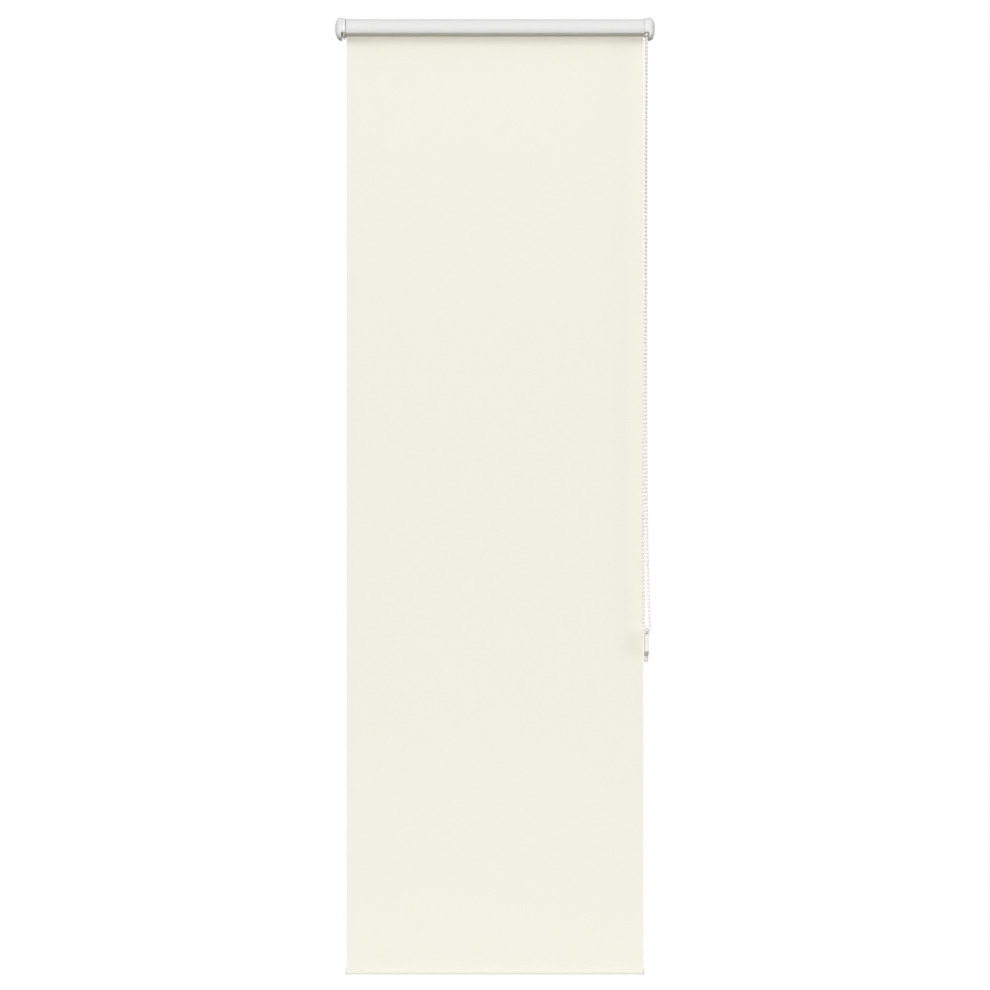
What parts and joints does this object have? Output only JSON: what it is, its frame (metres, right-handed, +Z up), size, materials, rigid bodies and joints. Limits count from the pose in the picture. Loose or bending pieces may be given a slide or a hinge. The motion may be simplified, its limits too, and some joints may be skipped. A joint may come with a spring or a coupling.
{
  "type": "roller blind",
  "caption": "Chain-operated roller blind with a slim cassette head, cream fabric, wrapped bottom bar and wall tensioner.",
  "frame": {"origin": "on the wall plane, midway along the roller, at the height of the roller's axis", "axes": "+X along the roller to the chain side, +Y into the wall, +Z up"},
  "size_m": [0.5, 0.0405, 1.5],
  "materials": {
    "white_plastic": "satin white moulded plastic",
    "white_paint": "satin white powder coat on aluminium",
    "fabric": "matt cream woven polyester",
    "aluminium": "plain extruded aluminium",
    "steel": "zinc-plated steel",
    "bead": "glossy white moulded beads on a cord",
    "grey_plastic": "extruded grey plastic",
    "nylon": "natural white moulded nylon"
  },
  "bodies": {
    "head": {"left_bracket": "steel", "right_bracket": "steel", "left_side_plate": "white_plastic", "right_side_plate": "white_plastic", "left_outer_cap": "white_plastic", "right_outer_cap": "white_plastic", "left_lock_screw": "steel", "right_lock_screw": "steel", "head_cover": "white_paint", "fabric_panel": "fabric", "clutch_core": "nylon", "retaining_clip": "steel", "core_washer": "steel", "core_screw": "steel", "idle_bush": "nylon", "bead_chain": "bead", "tensioner": "nylon"},
    "roller": {"roller_tube": "aluminium", "fabric_spline": "grey_plastic", "fabric_wrap": "fabric", "chain_wheel": "nylon", "drive_plug": "nylon", "brake_spring_1": "steel", "brake_spring_2": "steel", "idle_plug": "nylon", "idle_spring": "steel"},
    "pin": {"idle_pin": "steel"},
    "bar": {"bottom_rail": "aluminium", "hem_sleeve": "fabric", "left_rail_cap": "white_plastic", "right_rail_cap": "white_plastic"}
  },
  "joints": [
    {"name": "roller_turn", "type": "hinge", "parent": "head", "child": "roller", "pos_m": [0, -0.022, 0], "axis": [1, 0, 0], "range_deg": [0, 7120]},
    {"name": "bar_lift", "type": "slide", "parent": "head", "child": "bar", "axis": [0, 0, 1], "range_m": [0, 1.44], "deforming": ["fabric_panel"]},
    {"name": "pin_retract", "type": "slide", "parent": "roller", "child": "pin", "axis": [1, 0, 0], "range_m": [0, 0.0045], "stiffness_N_per_m": 400, "deforming": ["idle_spring"]}
  ],
  "couplings": [
    {"joint": "bar_lift", "follows": "roller_turn", "m_per_rad": 0.011565}
  ]
}
